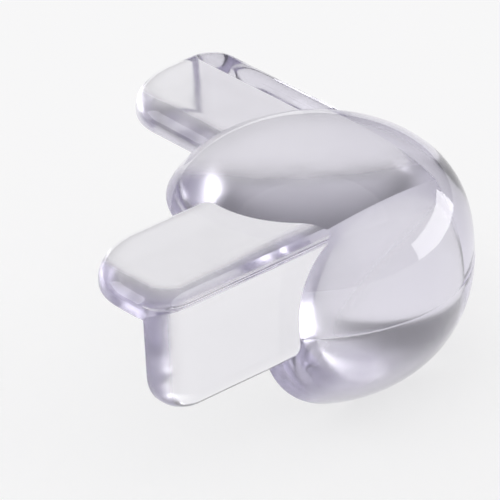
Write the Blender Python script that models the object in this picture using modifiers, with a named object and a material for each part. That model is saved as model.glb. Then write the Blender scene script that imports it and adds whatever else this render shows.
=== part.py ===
"""Furniture corner protector: a clear soft-plastic guard moulded in one piece.

A squat ball wraps the corner of a table board, and an arm with an L-shaped
section runs back along each of the two edges that meet there. The board fills
the recess: its top lies under the ball and the top flanges, and its two sides
lie behind the side flanges.

Metres, +Z up. The origin is on the face that lies on the board's top, where
the ball's upright axis meets it. The board's corner points towards +X and +Y,
so the arms run towards -X and -Y.
"""

import math

import bmesh
import bpy
from mathutils import Matrix, Vector

# The ball: a circle seen from above and, seen from the side, a superellipse that is squarer
# and lower above its widest circle than below it
BALL_RADIUS = 0.0158
BALL_INSET = 0.008
BALL_DROP = 0.0072
BALL_UPPER_HEIGHT = 0.0123
BALL_LOWER_HEIGHT = 0.0141
BALL_UPPER_EXPONENT = 2.6
BALL_LOWER_EXPONENT = 2.15

# The arms, measured from the board's corner, edges and top
ARM_LENGTH = 0.036
TOP_FLANGE_WIDTH = 0.0115
TOP_FLANGE_THICKNESS = 0.0026
TOP_INNER_CORNER_RADIUS = 0.008
TOP_OUTER_CORNER_RADIUS = 0.0038
SIDE_FLANGE_DEPTH = 0.0108
SIDE_FLANGE_THICKNESS = 0.003
SIDE_CORNER_RADIUS = 0.0045
LEAST_CORNER_RADIUS = 0.0004

# The soft rims: each is a quarter ellipse that stands on a low upright land
TOP_RIM_WIDTH = 0.003
TOP_RIM_LAND = 0.0003
SIDE_RIM_WIDTH = 0.0026
SIDE_RIM_LAND = 0.0004

# The crease between the flanges: the side flange's edge stands proud of the top one's rim
CREASE_HEIGHT = 0.0013
CREASE_LEDGE = 0.00015
SIDE_END_SETBACK = 0.0003

# How finely the round forms are divided
BALL_STEPS = 64
BALL_PROFILE_STEPS = 11
CORNER_STEPS = 8
RIM_STEPS = 5
SHARP_ANGLE = math.radians(25)

CLEAR_PLASTIC_COLOUR = (0.93, 0.93, 0.96, 1.0)
CLEAR_PLASTIC_ROUGHNESS = 0.04
CLEAR_PLASTIC_IOR = 1.5

# How far the flanges start inside the board, and how far the board runs past the arms
FLANGE_ROOT = 0.00005
BOARD_MARGIN = 0.004

BOARD_CORNER = Vector((BALL_INSET, BALL_INSET, 0.0))
ALONG_X = Vector((-1, 0, 0))
ALONG_Y = Vector((0, -1, 0))
DOWN = Vector((0, 0, -1))


def clear_scene():
    for obj in list(bpy.data.objects):
        bpy.data.objects.remove(obj, do_unlink=True)


def make_collection(name):
    collection = bpy.data.collections.new(name)
    bpy.context.scene.collection.children.link(collection)
    return collection


def clear_plastic():
    material = bpy.data.materials.new("clear_plastic")
    material.use_nodes = True
    shader = material.node_tree.nodes["Principled BSDF"]
    shader.inputs["Base Color"].default_value = CLEAR_PLASTIC_COLOUR
    shader.inputs["Roughness"].default_value = CLEAR_PLASTIC_ROUGHNESS
    shader.inputs["Metallic"].default_value = 0.0
    shader.inputs["IOR"].default_value = CLEAR_PLASTIC_IOR
    shader.inputs["Transmission Weight"].default_value = 1.0
    return material


def add_object(name, mesh, collection):
    obj = bpy.data.objects.new(name, mesh)
    collection.objects.link(obj)
    return obj


def make_helper(obj):
    obj.hide_render = True
    obj.display_type = "WIRE"
    return obj


def quarter_profile(height, exponent):
    """A quarter of a superellipse, from this height on the ball's axis to its widest circle."""
    points = []
    for step in range(BALL_PROFILE_STEPS + 1):
        angle = math.pi / 2 * step / BALL_PROFILE_STEPS
        across = math.sin(angle) ** (2 / exponent)
        up = max(math.cos(angle), 0.0) ** (2 / exponent)
        points.append((BALL_RADIUS * across, 0.0, height * up - BALL_DROP))
    return points


def ball_profile():
    """Half of the ball's side view, from its top down its outer side to its bottom."""
    upper = quarter_profile(BALL_UPPER_HEIGHT, BALL_UPPER_EXPONENT)
    lower = quarter_profile(-BALL_LOWER_HEIGHT, BALL_LOWER_EXPONENT)
    return upper + lower[-2::-1]


def add_ball(name, collection):
    """The ball, turned about the origin's upright axis."""
    points = ball_profile()
    mesh = bpy.data.meshes.new(name)
    mesh.from_pydata(points, [(i, i + 1) for i in range(len(points) - 1)], [])
    ball = add_object(name, mesh, collection)
    screw = ball.modifiers.new("turned", "SCREW")
    screw.steps = BALL_STEPS
    screw.render_steps = BALL_STEPS
    screw.use_merge_vertices = True
    screw.merge_threshold = 1e-6
    screw.use_smooth_shade = True
    return ball


def rim_inset(height, land, thickness, width):
    """How far a rounded rim has drawn in at this height: not at all below its land."""
    rise = max(height - land, 0.0) / (thickness - land)
    return width * (1 - math.sqrt(max(1 - rise**2, 0.0)))


def rim_heights(land, thickness):
    """The heights of a flange's outlines, from inside the board to its flat face."""
    angles = [math.pi / 2 * step / RIM_STEPS for step in range(RIM_STEPS + 1)]
    return [-FLANGE_ROOT] + [land + (thickness - land) * math.sin(angle) for angle in angles]


def quarter_arc(centre_along, centre_across, radius, start):
    points = []
    for step in range(CORNER_STEPS + 1):
        angle = start + math.pi / 2 * step / CORNER_STEPS
        along = centre_along + radius * math.cos(angle)
        across = centre_across + radius * math.sin(angle)
        points.append((along, across))
    return points


def top_flange_outline(height):
    """The top flange at this height: along the arm, then inwards over the board."""
    inset = rim_inset(height, TOP_RIM_LAND, TOP_FLANGE_THICKNESS, TOP_RIM_WIDTH)
    outer_inset = rim_inset(height, CREASE_HEIGHT, TOP_FLANGE_THICKNESS, TOP_RIM_WIDTH)
    end = ARM_LENGTH - inset
    outer = CREASE_LEDGE - SIDE_FLANGE_THICKNESS + outer_inset
    inner = TOP_FLANGE_WIDTH - inset
    outer_radius = max(TOP_OUTER_CORNER_RADIUS - inset, LEAST_CORNER_RADIUS)
    inner_radius = TOP_INNER_CORNER_RADIUS - inset
    outer_corner = quarter_arc(end - outer_radius, outer + outer_radius, outer_radius, -math.pi / 2)
    inner_corner = quarter_arc(end - inner_radius, inner - inner_radius, inner_radius, 0.0)
    return [(BALL_INSET, outer), *outer_corner, *inner_corner, (BALL_INSET, inner)]


def side_flange_outline(height):
    """The side flange at this height above the board's side: along the arm, then down."""
    inset = rim_inset(height, SIDE_RIM_LAND, SIDE_FLANGE_THICKNESS, SIDE_RIM_WIDTH)
    end = ARM_LENGTH - SIDE_END_SETBACK - inset
    lower = SIDE_FLANGE_DEPTH - inset
    radius = SIDE_CORNER_RADIUS - inset
    lower_corner = quarter_arc(end - radius, lower - radius, radius, 0.0)
    return [
        (BALL_INSET, -CREASE_HEIGHT), (end, -CREASE_HEIGHT), *lower_corner, (BALL_INSET, lower)
    ]


def stack_outlines(outline, heights):
    """A closed mesh with this outline at each of the heights."""
    mesh = bmesh.new()
    rings = []
    for height in heights:
        rings.append([mesh.verts.new((*point, height)) for point in outline(height)])
    for ring, above in zip(rings, rings[1:]):
        for i, vert in enumerate(ring):
            mesh.faces.new((ring[i - 1], vert, above[i], above[i - 1]))
    mesh.faces.new(reversed(rings[0]))
    mesh.faces.new(rings[-1])
    return mesh


def place_flange(name, mesh, directions, collection):
    """Turns a flange's three directions to those given, at the board's corner."""
    turn = Matrix(directions).transposed().to_4x4()
    bmesh.ops.transform(mesh, matrix=Matrix.Translation(BOARD_CORNER) @ turn, verts=mesh.verts)
    bmesh.ops.recalc_face_normals(mesh, faces=mesh.faces)
    data = bpy.data.meshes.new(name)
    mesh.to_mesh(data)
    mesh.free()
    return make_helper(add_object(name, data, collection))


def add_top_flange(name, along, inward, collection):
    heights = rim_heights(TOP_RIM_LAND, TOP_FLANGE_THICKNESS)
    mesh = stack_outlines(top_flange_outline, heights)
    return place_flange(name, mesh, (along, inward, -DOWN), collection)


def add_side_flange(name, along, outward, collection):
    heights = rim_heights(SIDE_RIM_LAND, SIDE_FLANGE_THICKNESS)
    mesh = stack_outlines(side_flange_outline, heights)
    return place_flange(name, mesh, (along, DOWN, outward), collection)


def add_board_corner(collection):
    """The corner of the table board, which the recess fits."""
    size = ARM_LENGTH + BOARD_MARGIN
    mesh = bmesh.new()
    bmesh.ops.create_cube(mesh, size=size)
    bmesh.ops.translate(mesh, vec=BOARD_CORNER - Vector((size, size, size)) / 2, verts=mesh.verts)
    data = bpy.data.meshes.new("board_corner")
    mesh.to_mesh(data)
    mesh.free()
    return make_helper(add_object("board_corner", data, collection))


def add_boolean(obj, name, operation, other):
    boolean = obj.modifiers.new(name, "BOOLEAN")
    boolean.operation = operation
    boolean.solver = "EXACT"
    boolean.object = other


def finished(obj, material, collection):
    """The object with its modifiers applied, smooth except at its creases."""
    bpy.context.view_layer.update()
    graph = bpy.context.evaluated_depsgraph_get()
    mesh = bpy.data.meshes.new_from_object(obj.evaluated_get(graph))
    name = obj.name
    bpy.data.objects.remove(obj, do_unlink=True)
    mesh.materials.clear()
    mesh.materials.append(material)
    mesh.shade_smooth()
    mesh.set_sharp_from_angle(angle=SHARP_ANGLE)
    return add_object(name, mesh, collection)


def build():
    clear_scene()
    parts = make_collection("furniture_corner_protector")
    helpers = make_collection("helpers")

    protector = add_ball("corner_protector", parts)
    for name, along, across in (("x_arm", ALONG_X, ALONG_Y), ("y_arm", ALONG_Y, ALONG_X)):
        top = add_top_flange(f"{name}_top_flange", along, across, helpers)
        side = add_side_flange(f"{name}_side_flange", along, -across, helpers)
        add_boolean(protector, f"{name} top flange", "UNION", top)
        add_boolean(protector, f"{name} side flange", "UNION", side)
    add_boolean(protector, "board recess", "DIFFERENCE", add_board_corner(helpers))
    finished(protector, clear_plastic(), parts)


build()
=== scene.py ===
"""Looks of the clear furniture corner protector: its smooth moulded surface, its plastic,
and the plain studio round it."""

import math

import bmesh
import bpy
from mathutils import Matrix, Vector


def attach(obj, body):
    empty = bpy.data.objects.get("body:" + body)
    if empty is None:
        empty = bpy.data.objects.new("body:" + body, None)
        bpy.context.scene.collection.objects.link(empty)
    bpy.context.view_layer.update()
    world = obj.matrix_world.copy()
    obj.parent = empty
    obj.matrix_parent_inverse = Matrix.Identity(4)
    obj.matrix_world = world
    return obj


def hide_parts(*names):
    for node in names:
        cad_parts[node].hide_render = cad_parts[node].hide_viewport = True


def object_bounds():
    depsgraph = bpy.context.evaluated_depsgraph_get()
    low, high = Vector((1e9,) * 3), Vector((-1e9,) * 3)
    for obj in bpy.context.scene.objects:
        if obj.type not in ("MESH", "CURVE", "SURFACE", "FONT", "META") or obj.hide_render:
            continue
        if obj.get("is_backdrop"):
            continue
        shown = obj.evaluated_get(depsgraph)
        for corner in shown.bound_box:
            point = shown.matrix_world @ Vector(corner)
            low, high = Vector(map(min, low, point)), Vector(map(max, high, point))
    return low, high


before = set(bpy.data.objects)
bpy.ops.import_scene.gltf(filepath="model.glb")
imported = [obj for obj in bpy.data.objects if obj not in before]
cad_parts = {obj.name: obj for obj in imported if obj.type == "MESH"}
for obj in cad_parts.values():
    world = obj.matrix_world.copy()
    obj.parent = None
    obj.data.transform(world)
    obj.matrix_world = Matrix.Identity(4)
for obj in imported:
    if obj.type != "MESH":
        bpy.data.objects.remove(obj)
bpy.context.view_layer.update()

# The ball: a circle seen from above and, seen from the side, a superellipse that is squarer
# and lower above its widest circle than below it
BALL_RADIUS = 0.0158
BALL_INSET = 0.008
BALL_DROP = 0.0072
BALL_UPPER_HEIGHT = 0.0123
BALL_LOWER_HEIGHT = 0.0141
BALL_UPPER_EXPONENT = 2.6
BALL_LOWER_EXPONENT = 2.15

# The arms, measured from the board's corner, edges and top
ARM_LENGTH = 0.036
TOP_FLANGE_WIDTH = 0.0115
TOP_FLANGE_THICKNESS = 0.0026
TOP_INNER_CORNER_RADIUS = 0.008
TOP_OUTER_CORNER_RADIUS = 0.0038
SIDE_FLANGE_DEPTH = 0.0108
SIDE_FLANGE_THICKNESS = 0.003
SIDE_CORNER_RADIUS = 0.0045
LEAST_CORNER_RADIUS = 0.0004

# The soft rims: each is a quarter ellipse that stands on a low upright land
TOP_RIM_WIDTH = 0.003
TOP_RIM_LAND = 0.0003
SIDE_RIM_WIDTH = 0.0026
SIDE_RIM_LAND = 0.0004

# The crease between the flanges: the side flange's edge stands proud of the top one's rim,
# has a rounded lip, and stops a little short of the arm's end
CREASE_HEIGHT = 0.0013
CREASE_LEDGE = 0.00015
LIP_RADIUS = 0.00015
SIDE_END_SETBACK = 0.0003

# The mould's parting line: a fine bead round the ball, just under its widest circle
SEAM_HEIGHT = -0.0078
SEAM_WIDTH = 0.00016
SEAM_RISE = 0.00003
SEAM_STEPS = 10

# How finely the round forms are divided, and the angle past which an edge stays sharp
BALL_STEPS = 256
BALL_PROFILE_STEPS = 44
CORNER_STEPS = 24
RIM_STEPS = 14
SHARP_ANGLE = math.radians(18)

# How far the flanges start inside the board, and how far the board runs past the arms
FLANGE_ROOT = 0.00005
BOARD_MARGIN = 0.004

# How near to each other two places must be to count as one
MERGE_DISTANCE = 0.000001

BOARD_CORNER = Vector((BALL_INSET, BALL_INSET, 0.0))
ALONG_X = Vector((-1, 0, 0))
ALONG_Y = Vector((0, -1, 0))
DOWN = Vector((0, 0, -1))

# The camera, fitted to the board's edges and the guard's outlines in the photograph
PHOTO_SIDE = 500
CAMERA_AZIMUTH = math.radians(51.2)
CAMERA_ELEVATION = math.radians(29.3)
CAMERA_ROLL = math.radians(-3.0)
CAMERA_CLIP_START = 0.01
SENSOR_WIDTH = 36.0
LENS = 360.0
PIXELS_PER_METRE = 10280
BOARD_CORNER_PIXEL = (427.0, 188.5)

# The clear plastic
PLASTIC_COLOUR = (0.985, 0.98, 0.995, 1.0)
PLASTIC_IOR = 1.5
PLASTIC_TINT = (0.825, 0.81, 0.875, 1.0)
PLASTIC_TINT_DENSITY = 68.0
GLOSS_ROUGHNESS = 0.05
SATIN_ROUGHNESS = 0.13

# The plastic's unevenness: the scales are patches of haze, and waves, to a metre
HAZE_SCALE = 300.0
WAVE_SCALE = 160.0
NOISE_DETAIL = 1.0
WAVE_STRENGTH = 0.12
WAVE_HEIGHT = 0.0004

# Light is reflected many times along the inside of the flanges before it leaves
LIGHT_BOUNCES = 32

# The floor
FLOOR_SIDE = 6.0
FLOOR_COLOUR = (0.95, 0.95, 0.95, 1.0)
FLOOR_ROUGHNESS = 0.9
FLOOR_SPECULAR = 0.1
FLOOR_WHITENESS = 0.65

# The studio's wall turns into its ceiling between the two edges, each the sine of an elevation
WALL_COLOUR = (0.12, 0.118, 0.128, 1.0)
CEILING_COLOUR = (0.74, 0.735, 0.75, 1.0)
WALL_EDGE = 0.24
CEILING_EDGE = 0.60

# Each softbox: azimuth and elevation in degrees, distance, width, height, watts
SOFTBOXES = {
    "overhead softbox": (0, 90, 0.80, 1.00, 1.00, 0.8),
    "right softbox": (154, 6, 1.00, 1.00, 0.46, 6.6),
    "left softbox": (-55, 27, 1.00, 0.46, 0.44, 1.4),
}


def rim_inset(height, land, thickness, width):
    """How far a rounded rim has drawn in at this height: not at all below its land."""
    rise = max(height - land, 0.0) / (thickness - land)
    return width * (1 - math.sqrt(max(1 - rise**2, 0.0)))


def lip_inset(height):
    """How far the side flange's edge at the crease has drawn in at this height."""
    return rim_inset(height, SIDE_FLANGE_THICKNESS - LIP_RADIUS, SIDE_FLANGE_THICKNESS, LIP_RADIUS)


def rim_heights(land, thickness):
    """The heights of a flange's outlines, from inside the board to its flat face."""
    angles = [math.pi / 2 * step / RIM_STEPS for step in range(RIM_STEPS + 1)]
    return [-FLANGE_ROOT] + [land + (thickness - land) * math.sin(angle) for angle in angles]


def quarter_arc(centre_along, centre_across, radius, start):
    points = []
    for step in range(CORNER_STEPS + 1):
        angle = start + math.pi / 2 * step / CORNER_STEPS
        along = centre_along + radius * math.cos(angle)
        across = centre_across + radius * math.sin(angle)
        points.append((along, across))
    return points


def top_flange_outline(height):
    """The top flange at this height: along the arm, then inwards over the board."""
    inset = rim_inset(height, TOP_RIM_LAND, TOP_FLANGE_THICKNESS, TOP_RIM_WIDTH)
    outer_inset = rim_inset(height, CREASE_HEIGHT, TOP_FLANGE_THICKNESS, TOP_RIM_WIDTH)
    end = ARM_LENGTH - inset
    outer = CREASE_LEDGE - SIDE_FLANGE_THICKNESS + outer_inset
    inner = TOP_FLANGE_WIDTH - inset
    outer_radius = max(TOP_OUTER_CORNER_RADIUS - inset, LEAST_CORNER_RADIUS)
    inner_radius = TOP_INNER_CORNER_RADIUS - inset
    outer_corner = quarter_arc(end - outer_radius, outer + outer_radius, outer_radius, -math.pi / 2)
    inner_corner = quarter_arc(end - inner_radius, inner - inner_radius, inner_radius, 0.0)
    return [(BALL_INSET, outer), *outer_corner, *inner_corner, (BALL_INSET, inner)]


def side_flange_outline(height):
    """The side flange at this height above the board's side: along the arm, then down."""
    inset = rim_inset(height, SIDE_RIM_LAND, SIDE_FLANGE_THICKNESS, SIDE_RIM_WIDTH)
    end = ARM_LENGTH - SIDE_END_SETBACK - inset
    lower = SIDE_FLANGE_DEPTH - inset
    radius = SIDE_CORNER_RADIUS - inset
    upper = lip_inset(height) - CREASE_HEIGHT
    lower_corner = quarter_arc(end - radius, lower - radius, radius, 0.0)
    return [(BALL_INSET, upper), (end, upper), *lower_corner, (BALL_INSET, lower)]


def stack_outlines(outline, heights):
    """A closed mesh with this outline at each of the heights."""
    mesh = bmesh.new()
    rings = []
    for height in heights:
        rings.append([mesh.verts.new((*point, height)) for point in outline(height)])
    for ring, above in zip(rings, rings[1:]):
        for i, vert in enumerate(ring):
            mesh.faces.new((ring[i - 1], vert, above[i], above[i - 1]))
    mesh.faces.new(reversed(rings[0]))
    mesh.faces.new(rings[-1])
    return mesh


def make_object(name, data):
    obj = bpy.data.objects.new(name, data)
    bpy.context.scene.collection.objects.link(obj)
    return obj


def mesh_object(name, mesh):
    data = bpy.data.meshes.new(name)
    mesh.to_mesh(data)
    mesh.free()
    return make_object(name, data)


def make_flange(name, mesh, directions):
    """A flange with its three directions turned to those given, at the board's corner."""
    turn = Matrix(directions).transposed().to_4x4()
    bmesh.ops.transform(mesh, matrix=Matrix.Translation(BOARD_CORNER) @ turn, verts=mesh.verts)
    bmesh.ops.recalc_face_normals(mesh, faces=mesh.faces)
    return mesh_object(name, mesh)


def make_top_flange(name, along, inward):
    heights = rim_heights(TOP_RIM_LAND, TOP_FLANGE_THICKNESS)
    return make_flange(name, stack_outlines(top_flange_outline, heights), (along, inward, -DOWN))


def make_side_flange(name, along, outward):
    heights = rim_heights(SIDE_RIM_LAND, SIDE_FLANGE_THICKNESS)
    return make_flange(name, stack_outlines(side_flange_outline, heights), (along, DOWN, outward))


def quarter_profile(height, exponent):
    """A quarter of a superellipse, from this height on the ball's axis to its widest circle."""
    points = []
    for step in range(BALL_PROFILE_STEPS + 1):
        angle = math.pi / 2 * step / BALL_PROFILE_STEPS
        across = math.sin(angle) ** (2 / exponent)
        up = max(math.cos(angle), 0.0) ** (2 / exponent)
        points.append((BALL_RADIUS * across, 0.0, height * up - BALL_DROP))
    return points


def seam_profile():
    """The side view of the parting line's bead, from its upper edge down to its lower one."""
    points = []
    for step in range(SEAM_STEPS + 1):
        share = step / SEAM_STEPS
        height = SEAM_HEIGHT + SEAM_WIDTH * (0.5 - share)
        fall = (-BALL_DROP - height) / BALL_LOWER_HEIGHT
        radius = BALL_RADIUS * (1 - fall**BALL_LOWER_EXPONENT) ** (1 / BALL_LOWER_EXPONENT)
        rise = SEAM_RISE * math.sin(math.pi * share) ** 2
        points.append((radius + rise, 0.0, height))
    return points


def ball_profile():
    """Half of the ball's side view, from its top down its outer side to its bottom."""
    upper = quarter_profile(BALL_UPPER_HEIGHT, BALL_UPPER_EXPONENT)
    lower = quarter_profile(-BALL_LOWER_HEIGHT, BALL_LOWER_EXPONENT)[-2::-1]
    seam = seam_profile()
    above_seam = [point for point in lower if point[2] > seam[0][2]]
    below_seam = [point for point in lower if point[2] < seam[-1][2]]
    return upper + above_seam + seam + below_seam


def make_ball(name):
    """The ball, turned about the origin's upright axis."""
    points = ball_profile()
    data = bpy.data.meshes.new(name)
    data.from_pydata(points, [(i, i + 1) for i in range(len(points) - 1)], [])
    ball = make_object(name, data)
    screw = ball.modifiers.new("turned", "SCREW")
    screw.steps = BALL_STEPS
    screw.render_steps = BALL_STEPS
    screw.use_merge_vertices = True
    screw.merge_threshold = MERGE_DISTANCE
    return ball


def make_board_corner():
    """The corner of the table board, which the recess fits."""
    size = ARM_LENGTH + BOARD_MARGIN
    mesh = bmesh.new()
    bmesh.ops.create_cube(mesh, size=size)
    bmesh.ops.translate(mesh, vec=BOARD_CORNER - Vector((size, size, size)) / 2, verts=mesh.verts)
    return mesh_object("board_corner", mesh)


def add_boolean(obj, name, operation, other):
    boolean = obj.modifiers.new(name, "BOOLEAN")
    boolean.operation = operation
    boolean.solver = "EXACT"
    boolean.object = other


def add_arm(guard, name, along, across):
    """Joins an arm's two flanges to the guard, and returns them."""
    top = make_top_flange(f"{name}_top_flange", along, across)
    side = make_side_flange(f"{name}_side_flange", along, -across)
    add_boolean(guard, f"{name} top flange", "UNION", top)
    add_boolean(guard, f"{name} side flange", "UNION", side)
    return [top, side]


def apply_modifiers(obj):
    bpy.context.view_layer.update()
    graph = bpy.context.evaluated_depsgraph_get()
    mesh = bpy.data.meshes.new_from_object(obj.evaluated_get(graph))
    obj.modifiers.clear()
    obj.data = mesh


def shade_smooth(guard):
    """Shades the round forms smooth, with the flats kept flat where they meet the rims."""
    guard.data.shade_smooth()
    guard.data.set_sharp_from_angle(angle=SHARP_ANGLE)
    weighted = guard.modifiers.new("flat flats", "WEIGHTED_NORMAL")
    weighted.mode = "FACE_AREA"
    weighted.keep_sharp = True


def mark_recess(mesh):
    """Marks the faces that lie against the board, which have a satin finish."""
    mark = mesh.attributes.new("recess", "FLOAT", "FACE")
    for face, value in zip(mesh.polygons, mark.data):
        distances = [abs(face.center[axis] - BOARD_CORNER[axis]) for axis in range(3)]
        value.value = 1.0 if min(distances) < MERGE_DISTANCE else 0.0


def make_guard():
    """The whole moulding as one mesh: the ball and the arms, less the board's corner."""
    guard = make_ball("clear_corner_guard")
    helpers = add_arm(guard, "x_arm", ALONG_X, ALONG_Y)
    helpers += add_arm(guard, "y_arm", ALONG_Y, ALONG_X)
    board = make_board_corner()
    add_boolean(guard, "board recess", "DIFFERENCE", board)
    helpers.append(board)
    apply_modifiers(guard)
    for helper in helpers:
        bpy.data.objects.remove(helper, do_unlink=True)
    shade_smooth(guard)
    mark_recess(guard.data)
    return guard


def add_node(tree, kind, **inputs):
    """A node of this kind, with its inputs set: an underscore stands for a space."""
    node = tree.nodes.new(kind)
    for name, value in inputs.items():
        node.inputs[name.replace("_", " ")].default_value = value
    return node


def add_finish(tree, place, shader):
    """Gloss with faint patches of haze, and satin over the recess."""
    haze = add_node(tree, "ShaderNodeTexNoise", Scale=HAZE_SCALE, Detail=NOISE_DETAIL)
    gloss = add_node(tree, "ShaderNodeMapRange", To_Min=0.0, To_Max=2 * GLOSS_ROUGHNESS)
    recess = tree.nodes.new("ShaderNodeAttribute")
    recess.attribute_name = "recess"
    satin = tree.nodes.new("ShaderNodeMath")
    satin.operation = "MULTIPLY_ADD"
    satin.inputs[1].default_value = SATIN_ROUGHNESS
    tree.links.new(place.outputs["Object"], haze.inputs["Vector"])
    tree.links.new(haze.outputs["Fac"], gloss.inputs["Value"])
    tree.links.new(recess.outputs["Fac"], satin.inputs[0])
    tree.links.new(gloss.outputs["Result"], satin.inputs[2])
    tree.links.new(satin.outputs["Value"], shader.inputs["Roughness"])


def add_waves(tree, place, shader):
    """The faint waves that the mould leaves in the surface."""
    waves = add_node(tree, "ShaderNodeTexNoise", Scale=WAVE_SCALE, Detail=NOISE_DETAIL)
    bump = add_node(tree, "ShaderNodeBump", Strength=WAVE_STRENGTH, Distance=WAVE_HEIGHT)
    tree.links.new(place.outputs["Object"], waves.inputs["Vector"])
    tree.links.new(waves.outputs["Fac"], bump.inputs["Height"])
    tree.links.new(bump.outputs["Normal"], shader.inputs["Normal"])


def add_tint(tree):
    """Makes the plastic lilac where it is thick."""
    tint = add_node(
        tree, "ShaderNodeVolumeAbsorption", Color=PLASTIC_TINT, Density=PLASTIC_TINT_DENSITY
    )
    tree.links.new(tint.outputs["Volume"], tree.nodes["Material Output"].inputs["Volume"])


def make_plastic():
    """Clear soft plastic: glossy, faintly wavy from the mould, and lilac where it is thick."""
    material = bpy.data.materials.new("clear_plastic")
    material.use_nodes = True
    tree = material.node_tree
    shader = tree.nodes["Principled BSDF"]
    shader.inputs["Base Color"].default_value = PLASTIC_COLOUR
    shader.inputs["IOR"].default_value = PLASTIC_IOR
    shader.inputs["Transmission Weight"].default_value = 1.0
    place = tree.nodes.new("ShaderNodeTexCoord")
    add_finish(tree, place, shader)
    add_waves(tree, place, shader)
    add_tint(tree)
    return material


def dress_guard():
    guard = make_guard()
    guard.data.materials.clear()
    guard.data.materials.append(make_plastic())
    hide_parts("corner_protector")
    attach(guard, "root")


def whiten_where_seen(tree, shader):
    """Mixes white into this shader where it is seen, straight, reflected or through the guard."""
    ray = tree.nodes.new("ShaderNodeLightPath")
    straight_or_reflected = tree.nodes.new("ShaderNodeMath")
    seen = tree.nodes.new("ShaderNodeMath")
    seen.use_clamp = True
    whiteness = tree.nodes.new("ShaderNodeMath")
    whiteness.operation = "MULTIPLY"
    whiteness.inputs[1].default_value = FLOOR_WHITENESS
    white = tree.nodes.new("ShaderNodeEmission")
    mix = tree.nodes.new("ShaderNodeMixShader")
    tree.links.new(ray.outputs["Is Camera Ray"], straight_or_reflected.inputs[0])
    tree.links.new(ray.outputs["Is Glossy Ray"], straight_or_reflected.inputs[1])
    tree.links.new(straight_or_reflected.outputs["Value"], seen.inputs[0])
    tree.links.new(ray.outputs["Is Transmission Ray"], seen.inputs[1])
    tree.links.new(seen.outputs["Value"], whiteness.inputs[0])
    tree.links.new(whiteness.outputs["Value"], mix.inputs["Fac"])
    tree.links.new(shader.outputs["BSDF"], mix.inputs[1])
    tree.links.new(white.outputs["Emission"], mix.inputs[2])
    tree.links.new(mix.outputs["Shader"], tree.nodes["Material Output"].inputs["Surface"])


def make_floor_material():
    """A pale matt floor that keeps the guard's shadow."""
    material = bpy.data.materials.new("pale_floor")
    material.use_nodes = True
    tree = material.node_tree
    shader = tree.nodes["Principled BSDF"]
    shader.inputs["Base Color"].default_value = FLOOR_COLOUR
    shader.inputs["Roughness"].default_value = FLOOR_ROUGHNESS
    shader.inputs["Specular IOR Level"].default_value = FLOOR_SPECULAR
    whiten_where_seen(tree, shader)
    return material


def make_floor(height):
    mesh = bmesh.new()
    bmesh.ops.create_grid(mesh, x_segments=1, y_segments=1, size=FLOOR_SIDE / 2)
    floor = mesh_object("floor", mesh)
    floor.location.z = height
    floor.data.materials.append(make_floor_material())
    floor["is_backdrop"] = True


def make_world():
    """A grey studio wall all round, going paler up to the ceiling."""
    world = bpy.data.worlds.new("studio")
    bpy.context.scene.world = world
    world.use_nodes = True
    tree = world.node_tree
    background = tree.nodes["Background"]
    place = tree.nodes.new("ShaderNodeTexCoord")
    axes = tree.nodes.new("ShaderNodeSeparateXYZ")
    ramp = tree.nodes.new("ShaderNodeValToRGB")
    ramp.color_ramp.elements[0].position = WALL_EDGE
    ramp.color_ramp.elements[0].color = WALL_COLOUR
    ramp.color_ramp.elements[1].position = CEILING_EDGE
    ramp.color_ramp.elements[1].color = CEILING_COLOUR
    tree.links.new(place.outputs["Generated"], axes.inputs["Vector"])
    tree.links.new(axes.outputs["Z"], ramp.inputs["Fac"])
    tree.links.new(ramp.outputs["Color"], background.inputs["Color"])


def direction(azimuth, elevation):
    """From the object towards this azimuth and elevation, in radians."""
    level = math.cos(elevation)
    return Vector((math.sin(azimuth) * level, -math.cos(azimuth) * level, math.sin(elevation)))


def make_softboxes():
    for name, (azimuth, elevation, distance, width, height, watts) in SOFTBOXES.items():
        light = bpy.data.lights.new(name, "AREA")
        light.shape = "RECTANGLE"
        light.size = width
        light.size_y = height
        light.energy = watts
        towards = direction(math.radians(azimuth), math.radians(elevation))
        softbox = make_object(name, light)
        softbox.location = towards * distance
        softbox.rotation_euler = towards.to_track_quat("Z", "Y").to_euler()


def make_camera():
    """Places the camera so that the board's corner lands on its pixel of the photograph."""
    back = direction(CAMERA_AZIMUTH, CAMERA_ELEVATION)
    level = Vector((math.cos(CAMERA_AZIMUTH), math.sin(CAMERA_AZIMUTH), 0.0))
    upright = back.cross(level)
    right = level * math.cos(CAMERA_ROLL) + upright * math.sin(CAMERA_ROLL)
    up = upright * math.cos(CAMERA_ROLL) - level * math.sin(CAMERA_ROLL)
    focal_pixels = LENS / SENSOR_WIDTH * PHOTO_SIDE
    distance = focal_pixels / PIXELS_PER_METRE
    across = (BOARD_CORNER_PIXEL[0] - PHOTO_SIDE / 2) / PIXELS_PER_METRE
    above = (PHOTO_SIDE / 2 - BOARD_CORNER_PIXEL[1]) / PIXELS_PER_METRE
    data = bpy.data.cameras.new("camera")
    data.sensor_width = SENSOR_WIDTH
    data.lens = LENS
    data.clip_start = CAMERA_CLIP_START
    camera = make_object("camera", data)
    place = BOARD_CORNER + back * distance - right * across - up * above
    turn = Matrix((right, up, back)).transposed().to_4x4()
    camera.matrix_world = Matrix.Translation(place) @ turn
    bpy.context.scene.camera = camera


def set_light_paths_and_view():
    scene = bpy.context.scene
    scene.view_settings.view_transform = "Standard"
    scene.cycles.max_bounces = LIGHT_BOUNCES
    scene.cycles.glossy_bounces = LIGHT_BOUNCES
    scene.cycles.transmission_bounces = LIGHT_BOUNCES


def make_scene():
    dress_guard()
    make_floor(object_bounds()[0].z)
    make_world()
    make_softboxes()
    make_camera()
    set_light_paths_and_view()


make_scene()
